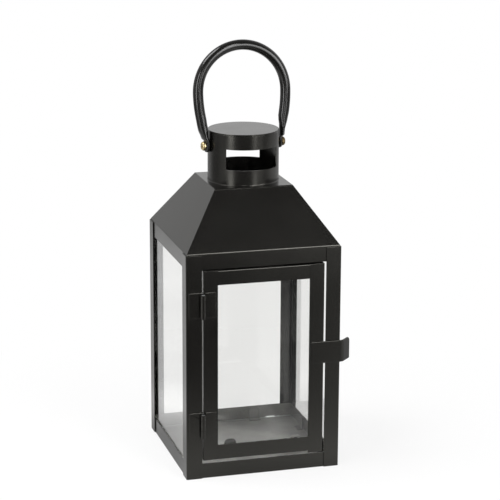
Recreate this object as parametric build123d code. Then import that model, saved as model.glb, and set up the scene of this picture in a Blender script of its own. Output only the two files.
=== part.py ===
from build123d import *
import math
import os

# Candle lantern of painted sheet steel and glass, in millimetres.
# It stands on z = 0 with its centre on the z axis. The door faces -Y and its latch is on +X.

# Frame of posts and rails
BODY_WIDTH = 150.0          # over the outside of the corner posts, both ways
POST_HEIGHT = 218.2
POST_LEG = 14.5             # each leg of a corner angle
HINGE_POST_LEG = 15.3       # the wider leg that carries the hinges
SHEET = 1.0                 # steel of posts, rails, floor, roof and door
RAIL_HEIGHT = 14.5

# Roof hood
EAVE_RISE = 0.8             # fold of the roof above the tops of the posts
SKIRT_DEPTH = 15.0          # folded-down skirt below the fold
ROOF_RISE = 52.0            # fold to flat top
ROOF_LEDGE = 4.0            # flat top beyond the chimney, on each side

# Chimney and its lid
CHIMNEY_RADIUS = 33.9
CHIMNEY_WALL = 1.0
CHIMNEY_HEIGHT = 47.4
SLOT_SWEEP = 94.0           # degrees of the tube that each vent takes out
SLOT_HEIGHT = 19.5
SLOT_DROP = 13.4            # top of the tube to the top of the vents
CAP_THICKNESS = 1.3
CHIMNEY_TURN = 4.0          # degrees that the chimney stands turned on the hood, handle and all
COLLAR_DEPTH = 4.0
COLLAR_WALL = 1.0

# Glass and the bent tabs that hold it
GLASS = 2.0
GLASS_GAP = 0.5             # play at the edges of a pane
PANE_TUCK = 9.0             # fixed panes reach this far up behind the skirt
CLIP_SHEET = 1.0
CLIP_WIDTH = 11.5
CLIP_SPREAD = 64.0          # between the two clips on one edge
CLIP_FOOT = 6.0
CLIP_RISE = 12.0            # lower tongue on a fixed pane
CLIP_HOOK = 7.0             # upper tongue on a fixed pane
DOOR_CLIP_SHOWING = 4.0     # lower door tongue above the bottom rail of the door
DOOR_CLIP_HOOK = 10.0       # upper door tongue
CLIP_ROUNDING = 4.0

# Door
HINGE_SIDE_GAP = 1.1
LATCH_SIDE_GAP = 1.8
DOOR_TOP_GAP = 1.3
DOOR_BOTTOM_GAP = 3.5
DOOR_PROUD = 0.4            # front of the door ahead of the posts
DOOR_DEPTH = 8.0
HINGE_STILE = 14.0
LATCH_STILE = 14.5
DOOR_TOP_RAIL = 13.9
DOOR_BOTTOM_RAIL = 14.5
LATCH_STILE_DROP = 2.0      # foot of the latch stile below the rest of the door

# Butt hinges
HINGE_HEIGHT = 25.0
HINGE_LEAF = 13.2           # pin axis to the edge of a leaf
HINGE_SHEET = 1.2
KNUCKLE_RADIUS = 2.6
KNUCKLE_MIDDLE = 9.6        # length of the door's knuckle
KNUCKLE_GAP = 0.3
KNUCKLE_TOP_INSET = 2.0     # top of the leaves to the top of the upper knuckle
PIN_RADIUS = 1.2
PIN_HEAD_RADIUS = 1.9
PIN_HEAD_HEIGHT = 1.0
PIN_OFFSET = 0.95           # pin axis outside the hinge edge of the door
UPPER_HINGE_INSET = 32.1    # top of the door to the middle of the hinge
LOWER_HINGE_INSET = 36.0    # foot of the door to the middle of the hinge

# Latch
LATCH_SHEET = 1.6
LATCH_HEIGHT = 21.5
LATCH_LEVEL = 98.0          # foot of the door to the middle of the latch
LATCH_INSET = 1.0           # inner edge of the stile to the end of the strip
LATCH_OVERHANG = 1.7        # past the side of the post
LIP_LENGTH = 13.7
LIP_ANGLE = 46.0
LIP_ROUNDING = 4.5          # upper corner of the lip
LIP_FOOT_ROUNDING = 0.8     # lower corner of the lip
LATCH_BEND_RADIUS = 3.5

# Handle and the binding screws it swings on
PIVOT_DROP = 13.4           # top of the tube to the pivot
TAB_THICKNESS = 4.0
TAB_WIDTH = 12.0
TAB_TOP = 4.5               # flat part of a tab above the pivot
TAB_PLAY = 0.3              # side play of a tab on its barrel
HANDLE_DIAMETER = 9.0
LEG_SPREAD = 7.5            # arch outside the tabs, on each side
ARCH_RISE = 49.9            # pivot to the centre of the arch
LEG_BEND_RADIUS = 125.0
LEG_BEND = 15.0             # degrees of that bend before the tab begins
HANDLE_LEAN = 4.6           # degrees that the handle stands back from upright
CORE_RADIUS = 2.2
BARREL_RADIUS = 2.0
BARREL_HEAD_RADIUS = 4.0
BARREL_HEAD_THICKNESS = 1.2
SCREW_HEAD_RADIUS = 4.35
SCREW_HEAD_HEIGHT = 3.4
SCREW_SHANK_RADIUS = 1.2
SCREW_SHANK_LENGTH = 4.0
SCREW_SLOT_WIDTH = 0.8
SCREW_SLOT_DEPTH = 0.7
FIT = 0.05                  # radial clearance of pins, barrels and the lid's collar

# Planes and levels that the pieces share
HALF = BODY_WIDTH / 2
WALL_OUT = HALF - SHEET             # outside of rails and skirts
WALL_IN = WALL_OUT - SHEET          # inside of rails and skirts
PANE_IN = WALL_IN - GLASS           # inside of the fixed panes
EAVE = POST_HEIGHT + EAVE_RISE
SKIRT_FOOT = EAVE - SKIRT_DEPTH
PANE_TOP = SKIRT_FOOT + PANE_TUCK
ROOF_TOP = EAVE + ROOF_RISE
ROOF_TOP_HALF = CHIMNEY_RADIUS + ROOF_LEDGE
CHIMNEY_BORE = CHIMNEY_RADIUS - CHIMNEY_WALL
CHIMNEY_TOP = ROOF_TOP + CHIMNEY_HEIGHT
PIVOT = CHIMNEY_TOP - PIVOT_DROP

DOOR_LEFT = -HALF + HINGE_POST_LEG + HINGE_SIDE_GAP
DOOR_RIGHT = HALF - POST_LEG - LATCH_SIDE_GAP
DOOR_FOOT = RAIL_HEIGHT + DOOR_BOTTOM_GAP
DOOR_TOP = SKIRT_FOOT - DOOR_TOP_GAP
DOOR_FRONT = -HALF - DOOR_PROUD
DOOR_SKIN = DOOR_FRONT + SHEET      # back of the door's front strips
DOOR_GLASS_BACK = DOOR_SKIN + GLASS
DOOR_BACK = DOOR_FRONT + DOOR_DEPTH

PIN_X = DOOR_LEFT - PIN_OFFSET
PIN_Y = DOOR_FRONT - KNUCKLE_GAP - KNUCKLE_RADIUS
UPPER_HINGE = DOOR_TOP - UPPER_HINGE_INSET
LOWER_HINGE = DOOR_FOOT + LOWER_HINGE_INSET

TAB_INNER = CHIMNEY_RADIUS + TAB_PLAY
TAB_OUTER = TAB_INNER + TAB_THICKNESS
TAB_MIDDLE = (TAB_INNER + TAB_OUTER) / 2
ARCH_RADIUS = TAB_MIDDLE + LEG_SPREAD
BARREL_END = TAB_OUTER + TAB_PLAY
BORE_MARGIN = 1.0                   # cutting tools run this far past what they cut


def block(x0, x1, y0, y1, z0, z1):
    """Box between two corners."""
    middle = Pos((x0 + x1) / 2, (y0 + y1) / 2, (z0 + z1) / 2)
    return middle * Box(x1 - x0, y1 - y0, z1 - z0)


def upright(radius, x, y, z0, z1):
    """Cylinder along z between two levels."""
    return Pos(x, y, (z0 + z1) / 2) * Cylinder(radius, z1 - z0)


def across(radius, x0, x1, z):
    """Cylinder along x, at a level of the handle's pivot."""
    return Pos((x0 + x1) / 2, 0, z) * Rot(0, 90, 0) * Cylinder(radius, x1 - x0)


def corner_post(side_x, side_y, cross_leg):
    """L-angle with its corner outwards, and its leg along x as wide as given."""
    angle = block(-HALF, -HALF + cross_leg, -HALF, -HALF + SHEET, 0, POST_HEIGHT)
    angle += block(-HALF, -HALF + SHEET, -HALF, -HALF + POST_LEG, 0, POST_HEIGHT)
    if side_x > 0:
        angle = mirror(angle, about=Plane.YZ)
    if side_y > 0:
        angle = mirror(angle, about=Plane.XZ)
    return angle


def square_at(level, half):
    """Square section of the hood at one level."""
    return Pos(0, 0, level) * Rectangle(2 * half, 2 * half)


def roof_pieces():
    """Four panels with skirts, mitred at the hips, and the flat plate on top of them."""
    run = WALL_OUT - ROOF_TOP_HALF
    slope_wall = SHEET * math.hypot(run, ROOF_RISE) / ROOF_RISE
    rise_per_run = ROOF_RISE / run
    inner_fold = EAVE - (WALL_IN + slope_wall - WALL_OUT) * rise_per_run
    plate_foot = ROOF_TOP - SHEET

    outside = block(-WALL_OUT, WALL_OUT, -WALL_OUT, WALL_OUT, SKIRT_FOOT, EAVE)
    outside += loft([square_at(EAVE, WALL_OUT), square_at(ROOF_TOP, ROOF_TOP_HALF)], ruled=True)
    hollow = block(-WALL_IN, WALL_IN, -WALL_IN, WALL_IN, SKIRT_FOOT, inner_fold)
    hollow += loft(
        [square_at(inner_fold, WALL_IN), square_at(ROOF_TOP, ROOF_TOP_HALF - slope_wall)], ruled=True
    )
    slab = block(-HALF, HALF, -HALF, HALF, plate_foot, ROOF_TOP)
    shell = outside - hollow - slab
    plate = (outside & slab) - upright(CHIMNEY_BORE, 0, 0, plate_foot, ROOF_TOP)

    wedge = Polygon((0, 0), (-BODY_WIDTH, -BODY_WIDTH), (BODY_WIDTH, -BODY_WIDTH), align=None)
    wedge = Pos(0, 0, SKIRT_FOOT) * extrude(wedge, ROOF_TOP - SKIRT_FOOT)
    panels = {}
    for name, turn in (("front", 0), ("right", 90), ("back", 180), ("left", 270)):
        panels["roof_panel_" + name] = shell & (Rot(0, 0, turn) * wedge)
    panels["roof_top_plate"] = plate
    return panels


def chimney_tube():
    """Tube with a vent in front, one behind, and a hole for each barrel."""
    tube = upright(CHIMNEY_RADIUS, 0, 0, ROOF_TOP, CHIMNEY_TOP)
    tube -= upright(CHIMNEY_BORE, 0, 0, ROOF_TOP, CHIMNEY_TOP)
    half_sweep = math.radians(SLOT_SWEEP / 2)
    reach = CHIMNEY_RADIUS + BORE_MARGIN
    spread = reach * math.tan(half_sweep)
    slot_top = CHIMNEY_TOP - SLOT_DROP
    vent = Polygon((0, 0), (-spread, -reach), (spread, -reach), align=None)
    vent = Pos(0, 0, slot_top - SLOT_HEIGHT) * extrude(vent, SLOT_HEIGHT)
    tube -= vent
    tube -= Rot(0, 0, 180) * vent
    tube -= across(BARREL_RADIUS + FIT, -reach, reach, PIVOT)
    return tube


def chimney_cap():
    """Flat lid with a collar that fits inside the tube."""
    lid = upright(CHIMNEY_RADIUS, 0, 0, CHIMNEY_TOP, CHIMNEY_TOP + CAP_THICKNESS)
    collar_radius = CHIMNEY_BORE - FIT
    lid += upright(collar_radius, 0, 0, CHIMNEY_TOP - COLLAR_DEPTH, CHIMNEY_TOP)
    lid -= upright(collar_radius - COLLAR_WALL, 0, 0, CHIMNEY_TOP - COLLAR_DEPTH, CHIMNEY_TOP)
    return lid


def pane_clips(turn):
    """Two feet on the floor and two hooks on the skirt, for the pane on the side that turn faces."""
    clips = []
    tongue_face = PANE_IN - CLIP_SHEET
    for middle in (-CLIP_SPREAD / 2, CLIP_SPREAD / 2):
        x0 = middle - CLIP_WIDTH / 2
        x1 = middle + CLIP_WIDTH / 2
        lower = block(x0, x1, tongue_face, PANE_IN, SHEET, SHEET + CLIP_RISE)
        lower += block(x0, x1, PANE_IN - CLIP_FOOT, PANE_IN, SHEET, SHEET + CLIP_SHEET)
        upper = block(x0, x1, tongue_face, WALL_IN, PANE_TOP, PANE_TOP + CLIP_SHEET)
        upper += block(x0, x1, tongue_face, PANE_IN, PANE_TOP - CLIP_HOOK, PANE_TOP + CLIP_SHEET)
        clips += [Rot(0, 0, turn) * lower, Rot(0, 0, turn) * upper]
    return Compound(children=clips)


def door_stile(edge, inward, width, foot):
    """L-section strip with its return leg on the outer edge of the door."""
    strip = sorted((edge, edge + inward * width))
    leg = sorted((edge, edge + inward * SHEET))
    stile = block(*strip, DOOR_FRONT, DOOR_SKIN, foot, DOOR_TOP)
    stile += block(*leg, DOOR_FRONT, DOOR_BACK, foot, DOOR_TOP)
    return stile


def door_rail(edge, inward, width):
    """L-section strip between the stiles, with its return leg running behind them."""
    strip = sorted((edge, edge + inward * width))
    leg = sorted((edge, edge + inward * SHEET))
    rail = block(DOOR_LEFT + HINGE_STILE, DOOR_RIGHT - LATCH_STILE, DOOR_FRONT, DOOR_SKIN, *strip)
    rail += block(DOOR_LEFT + SHEET, DOOR_RIGHT - SHEET, DOOR_SKIN, DOOR_BACK, *leg)
    return rail


def door_glass():
    """Pane that stands on the bottom rail's return leg, behind the strips."""
    return block(
        DOOR_LEFT + SHEET + GLASS_GAP, DOOR_RIGHT - SHEET - GLASS_GAP,
        DOOR_SKIN, DOOR_GLASS_BACK,
        DOOR_FOOT + SHEET, DOOR_TOP - SHEET - GLASS_GAP,
    )


def door_glass_clips():
    """Tongues behind the door's glass: two rounded ones that show below, two short ones above."""
    clips = []
    door_middle = (DOOR_LEFT + DOOR_RIGHT) / 2
    tongue_back = DOOR_GLASS_BACK + CLIP_SHEET
    foot = DOOR_FOOT + SHEET
    head = DOOR_TOP - SHEET
    showing_top = DOOR_FOOT + DOOR_BOTTOM_RAIL + DOOR_CLIP_SHOWING
    for middle in (door_middle - CLIP_SPREAD / 2, door_middle + CLIP_SPREAD / 2):
        x0 = middle - CLIP_WIDTH / 2
        x1 = middle + CLIP_WIDTH / 2
        lower = block(x0, x1, DOOR_GLASS_BACK, tongue_back, foot, showing_top)
        lower = fillet(lower.edges().filter_by(Axis.Y).group_by(Axis.Z)[-1], CLIP_ROUNDING)
        lower += block(x0, x1, DOOR_GLASS_BACK, DOOR_BACK, foot, foot + CLIP_SHEET)
        upper = block(x0, x1, DOOR_GLASS_BACK, tongue_back, head - DOOR_CLIP_HOOK, head)
        upper += block(x0, x1, DOOR_GLASS_BACK, DOOR_BACK, head - CLIP_SHEET, head)
        clips += [lower, upper]
    return Compound(children=clips)


def hinge_leaf(side, face, level):
    """One leaf with its knuckles: side -1 is the post's leaf with two, side 1 the door's with one."""
    foot = level - HINGE_HEIGHT / 2
    top = level + HINGE_HEIGHT / 2
    middle_foot = level - KNUCKLE_MIDDLE / 2
    middle_top = level + KNUCKLE_MIDDLE / 2
    outer_spans = [(foot, middle_foot - KNUCKLE_GAP), (middle_top + KNUCKLE_GAP, top)]
    middle_span = [(middle_foot, middle_top)]
    own, other = (outer_spans, middle_span) if side < 0 else (middle_span, outer_spans)

    plate_x = sorted((PIN_X, PIN_X + side * HINGE_LEAF))
    relief_x = sorted((PIN_X, PIN_X + side * (KNUCKLE_RADIUS + KNUCKLE_GAP)))
    leaf = block(*plate_x, face - HINGE_SHEET, face, foot, top)
    for low, high in other:
        leaf -= block(*relief_x, face - HINGE_SHEET, face, low - KNUCKLE_GAP, high + KNUCKLE_GAP)
    for low, high in own:
        knuckle_top = min(high, top - KNUCKLE_TOP_INSET)
        leaf += upright(KNUCKLE_RADIUS, PIN_X, PIN_Y, low, knuckle_top)
    return leaf - upright(PIN_RADIUS + FIT, PIN_X, PIN_Y, foot, top)


def hinge_pin(level):
    """Plain pin with a small head that rests on the top knuckle."""
    foot = level - HINGE_HEIGHT / 2
    top = level + HINGE_HEIGHT / 2 - KNUCKLE_TOP_INSET
    pin = upright(PIN_RADIUS, PIN_X, PIN_Y, foot, top)
    head = upright(PIN_HEAD_RADIUS, PIN_X, PIN_Y, top, top + PIN_HEAD_HEIGHT)
    head = fillet(head.edges().group_by(Axis.Z)[-1], PIN_HEAD_HEIGHT / 2)
    return pin + head


def latch_strip():
    """Strip that lies on the latch stile, crosses the post and ends in a bent-back thumb lip."""
    start = DOOR_RIGHT - LATCH_STILE + LATCH_INSET
    bend = HALF + LATCH_OVERHANG
    lean = math.radians(LIP_ANGLE)
    tip_x = bend + LIP_LENGTH * math.cos(lean)
    tip_y = DOOR_FRONT + LIP_LENGTH * math.sin(lean)
    outer_bend = bend + LATCH_SHEET * math.tan(lean / 2)
    profile = Polygon(
        (start, DOOR_FRONT),
        (start, DOOR_FRONT - LATCH_SHEET),
        (outer_bend, DOOR_FRONT - LATCH_SHEET),
        (tip_x + LATCH_SHEET * math.sin(lean), tip_y - LATCH_SHEET * math.cos(lean)),
        (tip_x, tip_y),
        (bend, DOOR_FRONT),
        align=None,
    )
    low = DOOR_FOOT + LATCH_LEVEL - LATCH_HEIGHT / 2
    strip = Pos(0, 0, low) * extrude(profile, LATCH_HEIGHT)
    uprights = strip.edges().filter_by(Axis.Z)
    inner = uprights.sort_by_distance((bend, DOOR_FRONT, low + LATCH_HEIGHT / 2))[0]
    strip = fillet(inner, LATCH_BEND_RADIUS)
    outer_point = (outer_bend, DOOR_FRONT - LATCH_SHEET, low + LATCH_HEIGHT / 2)
    outer = strip.edges().filter_by(Axis.Z).sort_by_distance(outer_point)[0]
    strip = fillet(outer, LATCH_BEND_RADIUS + LATCH_SHEET)
    tip = strip.faces().filter_by(GeomType.PLANE).sort_by_distance((tip_x, tip_y, low + LATCH_HEIGHT / 2))[0]
    corners = [edge for edge in tip.edges() if abs(edge.length - LATCH_SHEET) < FIT]
    lower, upper = sorted(corners, key=lambda edge: edge.center().Z)
    strip = fillet(upper, LIP_ROUNDING)
    lower = strip.edges().sort_by_distance(lower.center())[0]
    return fillet(lower, LIP_FOOT_ROUNDING)


def handle_barrel(side):
    """Barrel through the wall and the tab, with a flat head inside the chimney and a bore outside."""
    seat = math.sqrt(CHIMNEY_BORE ** 2 - BARREL_HEAD_RADIUS ** 2)
    barrel = across(BARREL_RADIUS, seat - BARREL_HEAD_THICKNESS, BARREL_END, PIVOT)
    barrel += across(BARREL_HEAD_RADIUS, seat - BARREL_HEAD_THICKNESS, seat, PIVOT)
    barrel -= across(SCREW_SHANK_RADIUS + FIT, BARREL_END - SCREW_SHANK_LENGTH - FIT, BARREL_END, PIVOT)
    return barrel if side > 0 else mirror(barrel, about=Plane.YZ)


def handle_screw(side):
    """Slotted domed head on the end of the barrel, with its shank inside it."""
    head = across(SCREW_HEAD_RADIUS, BARREL_END, BARREL_END + SCREW_HEAD_HEIGHT, PIVOT)
    crown = head.edges().filter_by(GeomType.CIRCLE).sort_by(Axis.X)[-1]
    head = fillet(crown, SCREW_HEAD_HEIGHT - SHEET)
    slot_foot = BARREL_END + SCREW_HEAD_HEIGHT - SCREW_SLOT_DEPTH
    slot = block(
        slot_foot, slot_foot + SCREW_SLOT_DEPTH + BORE_MARGIN,
        -SCREW_HEAD_RADIUS, SCREW_HEAD_RADIUS, -SCREW_SLOT_WIDTH / 2, SCREW_SLOT_WIDTH / 2,
    )
    head -= Pos(0, 0, PIVOT) * slot
    screw = head + across(SCREW_SHANK_RADIUS, BARREL_END - SCREW_SHANK_LENGTH, BARREL_END, PIVOT)
    return screw if side > 0 else mirror(screw, about=Plane.YZ)


def handle_path():
    """Centre line of the rolled part: two slightly bent legs and the arch, pivot level at zero."""
    leg_centre = ARCH_RADIUS - LEG_BEND_RADIUS
    right_leg = CenterArc((leg_centre, ARCH_RISE), LEG_BEND_RADIUS, -LEG_BEND, LEG_BEND)
    arch = CenterArc((0, ARCH_RISE), ARCH_RADIUS, 0, 180)
    left_leg = CenterArc((-leg_centre, ARCH_RISE), LEG_BEND_RADIUS, 180, LEG_BEND)
    return Plane.XZ * Wire([right_leg, arch, left_leg])


def handle_tab(path):
    """Flat end on the +X side, drawn out of the round leg above it, with its pivot hole."""
    outline = Circle(TAB_WIDTH / 2)
    outline += Pos(0, TAB_TOP / 2) * Rectangle(TAB_WIDTH, TAB_TOP)
    tab = Pos(TAB_INNER, 0, 0) * extrude(Plane.YZ * outline, TAB_THICKNESS)
    leg_end = Plane(origin=path @ 0, z_dir=path % 0) * Circle(HANDLE_DIAMETER / 2)
    neck_foot = Pos(TAB_MIDDLE, 0, TAB_TOP) * Ellipse(TAB_THICKNESS / 2, TAB_WIDTH / 2)
    tab += loft([neck_foot, leg_end])
    return tab - across(BARREL_RADIUS + FIT, TAB_INNER - BORE_MARGIN, TAB_OUTER + BORE_MARGIN, 0)


def handle_pieces():
    """Rolled sleeve with its two tabs, and the cord inside it, leaning back about the pivot."""
    path = handle_path()
    start = Plane(origin=path @ 0, z_dir=path % 0)
    core = sweep(start * Circle(CORE_RADIUS), path=path)
    bore = sweep(start * Circle(CORE_RADIUS + FIT), path=path)
    tab = handle_tab(path)
    sleeve = sweep(start * Circle(HANDLE_DIAMETER / 2), path=path) - bore
    sleeve = sleeve + tab + mirror(tab, about=Plane.YZ)
    stand = Pos(0, 0, PIVOT) * Rot(-HANDLE_LEAN, 0, 0)
    return {"handle_sleeve": stand * sleeve, "handle_core": stand * core}


def body_pieces():
    """Floor, rails, posts and fixed panes."""
    pieces = {}
    pieces["base_floor"] = block(-WALL_IN, WALL_IN, -WALL_IN, WALL_IN, 0, SHEET)
    cross_rail = block(-WALL_IN, WALL_IN, -WALL_OUT, -WALL_IN, 0, RAIL_HEIGHT)
    side_rail = block(-WALL_OUT, -WALL_IN, -WALL_OUT, WALL_OUT, 0, RAIL_HEIGHT)
    pieces["bottom_rail_front"] = cross_rail
    pieces["bottom_rail_back"] = mirror(cross_rail, about=Plane.XZ)
    pieces["bottom_rail_left"] = side_rail
    pieces["bottom_rail_right"] = mirror(side_rail, about=Plane.YZ)
    for end, side_y in (("front", -1), ("back", 1)):
        for hand, side_x in (("left", -1), ("right", 1)):
            carries_door = side_x < 0 and side_y < 0
            cross_leg = HINGE_POST_LEG if carries_door else POST_LEG
            pieces["post_" + end + "_" + hand] = corner_post(side_x, side_y, cross_leg)

    pane_end = WALL_IN - GLASS_GAP
    side_pane = block(-WALL_IN, -PANE_IN, -pane_end, PANE_IN - GLASS_GAP, SHEET, PANE_TOP)
    pieces["pane_left"] = side_pane
    pieces["pane_right"] = mirror(side_pane, about=Plane.YZ)
    pieces["pane_back"] = block(-pane_end, pane_end, PANE_IN, WALL_IN, SHEET, PANE_TOP)
    for name, turn in (("back", 0), ("left", 90), ("right", 270)):
        pieces["pane_clips_" + name] = pane_clips(turn)
    return pieces


def door_pieces():
    """Door frame, its glass and the latch."""
    return {
        "door_hinge_stile": door_stile(DOOR_LEFT, 1, HINGE_STILE, DOOR_FOOT),
        "door_latch_stile": door_stile(DOOR_RIGHT, -1, LATCH_STILE, DOOR_FOOT - LATCH_STILE_DROP),
        "door_top_rail": door_rail(DOOR_TOP, -1, DOOR_TOP_RAIL),
        "door_bottom_rail": door_rail(DOOR_FOOT, 1, DOOR_BOTTOM_RAIL),
        "door_glass": door_glass(),
        "door_glass_clips": door_glass_clips(),
        "latch_strip": latch_strip(),
    }


def hinge_pieces():
    """Two butt hinges, each of two leaves and a pin."""
    pieces = {}
    for name, level in (("upper", UPPER_HINGE), ("lower", LOWER_HINGE)):
        pieces["hinge_" + name + "_post_leaf"] = hinge_leaf(-1, -HALF, level)
        pieces["hinge_" + name + "_door_leaf"] = hinge_leaf(1, DOOR_FRONT, level)
        pieces["hinge_" + name + "_pin"] = hinge_pin(level)
    return pieces


def chimney_pieces():
    """Chimney with its lid, screws and handle, turned on the hood."""
    pieces = {"chimney_tube": chimney_tube(), "chimney_cap": chimney_cap()}
    for hand, side in (("left", -1), ("right", 1)):
        pieces["handle_barrel_" + hand] = handle_barrel(side)
        pieces["handle_screw_" + hand] = handle_screw(side)
    pieces.update(handle_pieces())
    return {name: Rot(0, 0, CHIMNEY_TURN) * piece for name, piece in pieces.items()}


def lantern():
    """Every piece of the lantern by name."""
    pieces = body_pieces()
    pieces.update(roof_pieces())
    pieces.update(door_pieces())
    pieces.update(hinge_pieces())
    pieces.update(chimney_pieces())
    return pieces


os.makedirs("parts", exist_ok=True)
for node, shape in lantern().items():
    export_step(shape, "parts/" + node + ".step")
print("door hinge axis", round(PIN_X, 3), round(PIN_Y, 3), "handle pivot level", round(PIVOT, 3))
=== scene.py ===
import math

import bmesh
import bpy
from mathutils import Matrix, Vector


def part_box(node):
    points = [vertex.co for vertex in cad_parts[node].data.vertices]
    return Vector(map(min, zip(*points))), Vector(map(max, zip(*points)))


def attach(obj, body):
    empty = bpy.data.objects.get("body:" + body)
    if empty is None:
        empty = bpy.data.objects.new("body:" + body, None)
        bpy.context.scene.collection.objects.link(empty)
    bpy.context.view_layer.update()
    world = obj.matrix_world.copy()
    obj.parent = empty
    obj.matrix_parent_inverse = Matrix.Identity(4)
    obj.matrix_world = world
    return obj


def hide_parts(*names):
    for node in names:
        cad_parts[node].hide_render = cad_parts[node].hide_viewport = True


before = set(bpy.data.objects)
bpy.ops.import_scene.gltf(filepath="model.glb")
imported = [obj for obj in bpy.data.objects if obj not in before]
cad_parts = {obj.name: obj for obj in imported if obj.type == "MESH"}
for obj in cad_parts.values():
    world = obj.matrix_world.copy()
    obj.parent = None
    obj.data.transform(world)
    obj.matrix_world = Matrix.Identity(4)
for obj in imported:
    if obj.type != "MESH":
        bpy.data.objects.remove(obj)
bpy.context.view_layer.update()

MM = 0.001
NEAR = 0.05 * MM                # two places closer than this are the same place
TOOL = 3.0 * MM                 # cutting tools run this far past what they cut
FACING = 0.9                    # a face or edge whose way has this share along an axis faces along it
SHARP = math.radians(40)        # edges that turn by more than this are sharp
BAR_SIDES = 48
PIN_SIDES = 32
TUBE_SIDES = 180
LEATHER_SIDES = 64
ARCH_STEPS = 24                 # sections of half the arch
LEG_STEPS = 8                   # and of a leg above its neck

# Sizes that the boxes of the nodes don't give
SHEET = 1.0 * MM                # steel of posts, rails, roof, door and clips
SHEET_EDGE = 0.22 * MM          # rounding that the paint leaves on a cut edge
FINE_EDGE = 0.15 * MM           # the same on the hood, clips and hinges, and on the barrels
TUBE_EDGE = 0.18 * MM           # on the chimney and its lid
FOLD = 0.9 * MM                 # outer radius of a fold
POST_EDGE = 0.48 * MM           # rounding on the tops of the posts
EAVE_RISE = 0.8 * MM            # fold of the roof above the posts
EAVE_FOLD = 0.6 * MM
CHIMNEY = 33.9 * MM
CHIMNEY_TURN = 4.0              # degrees
VENT_SWEEP = 94.0               # degrees
VENT_DROP = 13.4 * MM
VENT_HEIGHT = 19.5 * MM
COLLAR_PLAY = 0.05 * MM
LID_EDGE = 0.45 * MM            # rounding of the lid's top edge
LID_SEAM = 0.4 * MM             # rounding of lid and tube where they meet
FOOT_FLARE = 0.6 * MM           # how far the foot of the tube is swaged out
FOOT_RISE = 0.8 * MM
# Start, end and height of the slits where the back rail stands off the floor and lets light in
SLITS = ((44.8 * MM, 54.8 * MM, 1.0 * MM), (57.2 * MM, 59.8 * MM, 0.6 * MM))
GLASS_EDGE = 0.3 * MM
GLASS_PLAY = 0.1 * MM           # between a pane and the steel before and behind it
CLIP_WIDTH = 11.5 * MM
CLIP_RISE = 12.0 * MM
CLIP_HOOK = 8.0 * MM
CLIP_CORNER = 2.0 * MM
CLIP_DUST_AND_LIGHT = 0.65                # dust and painted light on the clips as a share of that on the floor
RAIL_DUST_AND_LIGHT = 1.2                 # and on the inside of the rails
DOOR_CLIP_RISE = 17.5 * MM      # the one on the hinge side
DOOR_CLIP_LOW = 15.6 * MM       # the one on the latch side, pushed down
DOOR_CLIP_HOOK = 10.0 * MM
DOOR_CLIP_CORNER = 4.0 * MM
HINGE_LEAF = 13.2 * MM
HINGE_SHEET = 1.2 * MM
LEAF_EDGE = 0.9 * MM
KNUCKLE = 2.6 * MM
KNUCKLE_GAP = 0.3 * MM
KNUCKLE_MIDDLE = 9.6 * MM
KNUCKLE_TOP_INSET = 2.0 * MM
PIN = 1.2 * MM
PIN_BORE = 1.25 * MM
PIN_HEAD = 1.9 * MM
PIN_HEAD_HEIGHT = 1.0 * MM
PIN_HEAD_ROUNDING = 0.9 * PIN_HEAD_HEIGHT
LATCH_SHEET = 1.6 * MM
LATCH_EDGE = 0.6 * MM
LATCH_BEND = 3.5 * MM
LATCH_OVERHANG = 1.7 * MM
LIP_ANGLE = math.radians(46)
LIP_LENGTH = 13.7 * MM
LIP_TIP = 0.9                   # share of the lip's length where its tip begins
LIP_ROUNDING = 4.5 * MM
LIP_FOOT_ROUNDING = 0.8 * MM
PIVOT_DROP = 13.4 * MM
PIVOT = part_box("chimney_tube")[1].z - PIVOT_DROP
BARREL = 2.0 * MM
BARREL_HEAD = 4.0 * MM
BARREL_HEAD_HEIGHT = 1.2 * MM
SCREW_SHANK = 1.2 * MM
SCREW_BORE = 1.25 * MM
SCREW_DEPTH = 4.0 * MM
SCREW_HEAD = 4.35 * MM
SCREW_HEAD_HEIGHT = 3.4 * MM
SCREW_CROWN = 2.4 * MM
SCREW_EDGE = 0.12 * MM
SCREW_SLOT_WIDTH = 0.8 * MM
SCREW_SLOT_DEPTH = 0.7 * MM
TAB_PLAY = 0.3 * MM
TAB_THICKNESS = 4.0 * MM
TAB_WIDTH = 12.0 * MM
TAB_TOP = 4.5 * MM
TAB_X = CHIMNEY + TAB_PLAY + TAB_THICKNESS / 2
TAB_FULLNESS = 0.68             # half thickness before pressing, as a share of a tab's thickness
TAB_BLUNTNESS = 1.02            # over 1, so that the end of a tab isn't a point
LEATHER = 4.9 * MM              # radius of the rolled part
ARCH_RISE = 49.9 * MM
ARCH_RADIUS = 43.7 * MM
LEG_BEND_RADIUS = 125.0 * MM
LEG_BEND = math.radians(10)
HANDLE_LEAN = math.radians(4.6)
# Level over the pivot, reach past the middle of the tab, half thickness and half width of each neck, in mm
LEFT_NECK = (
    (24.9, 5.0, 4.9, 5.05), (20.0, 4.3, 4.8, 5.1), (16.0, 3.5, 4.8, 5.2), (13.1, 3.0, 4.4, 5.3),
    (11.2, 2.6, 3.8, 5.4), (9.2, 2.2, 3.5, 5.5), (7.0, 1.7, 3.2, 5.7), (5.6, 0.9, 2.6, 5.9))
RIGHT_NECK = (
    (24.2, 4.8, 4.7, 4.95), (20.2, 4.4, 4.15, 5.0), (16.2, 4.05, 3.15, 5.1), (12.2, 3.35, 2.4, 5.2),
    (8.6, 3.1, 2.1, 5.4), (6.6, 2.7, 2.3, 5.7), (5.5, 1.3, 2.2, 5.9))
# Share of the tab's half width below the pivot, and what is left of its thickness there
TAB_END = ((0.0, 1.0), (0.33, 1.0), (0.62, 1.0), (0.82, 0.92), (0.95, 0.7), (1.0, 0.4))


# Shaping

def alone(piece):
    """Makes a piece the only one selected."""
    bpy.ops.object.select_all(action="DESELECT")
    piece.select_set(True)
    bpy.context.view_layer.objects.active = piece


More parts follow.
